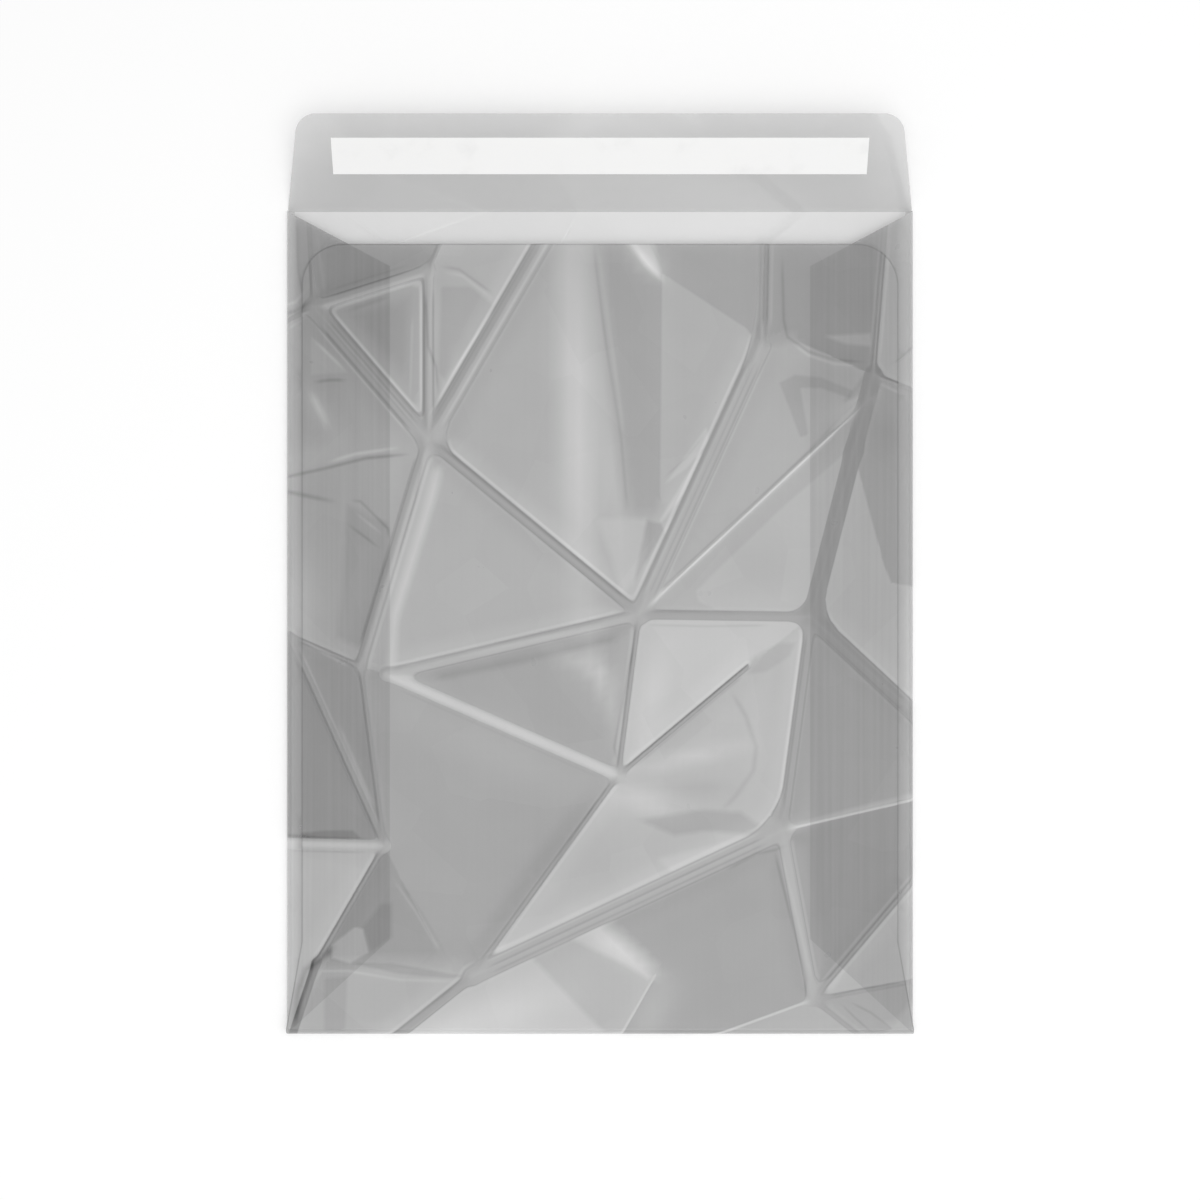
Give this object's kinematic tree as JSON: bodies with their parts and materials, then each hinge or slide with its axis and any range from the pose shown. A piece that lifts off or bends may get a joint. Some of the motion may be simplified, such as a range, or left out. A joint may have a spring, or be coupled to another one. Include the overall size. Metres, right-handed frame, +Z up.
{
  "type": "glassine envelope",
  "caption": "Open-end catalogue envelope of crinkled, half-clear film, with gummed side seams, an open seal flap on a crease and a peel-off liner over its adhesive strip.",
  "frame": {"origin": "centre of the front panel's outer face, which rests on the table", "axes": "+Z up, away from the table; +Y along the envelope towards the flap; +X to the right, looking at the back panel with the flap at the top"},
  "size_m": [0.2414, 0.3508, 0.0168],
  "materials": {
    "glassine": "satin",
    "seam_gum": "matte",
    "adhesive": "gloss",
    "liner_paper": "satin"
  },
  "bodies": {
    "pocket": {"front_panel": "glassine", "left_fold_lower": "glassine", "left_fold_upper": "glassine", "right_fold_lower": "glassine", "right_fold_upper": "glassine", "bottom_fold_lower": "glassine", "bottom_fold_upper": "glassine", "left_side_flap": "glassine", "right_side_flap": "glassine", "back_panel": "glassine", "left_seam_glue": "seam_gum", "right_seam_glue": "seam_gum", "flap_crease": "glassine"},
    "flap": {"seal_flap": "glassine", "closure_adhesive": "adhesive"},
    "liner": {"release_liner": "liner_paper"}
  },
  "joints": [
    {"name": "flap_fold", "type": "hinge", "parent": "pocket", "child": "flap", "pos_m": [0, 0.15875, 0.00287], "axis": [1, 0, 0], "range_deg": [-27, 153], "deforming": ["flap_crease"]},
    {"name": "liner_peel", "type": "slide", "parent": "flap", "child": "liner", "axis": [1, 0, 0], "range_m": [0, 0.2045]}
  ]
}
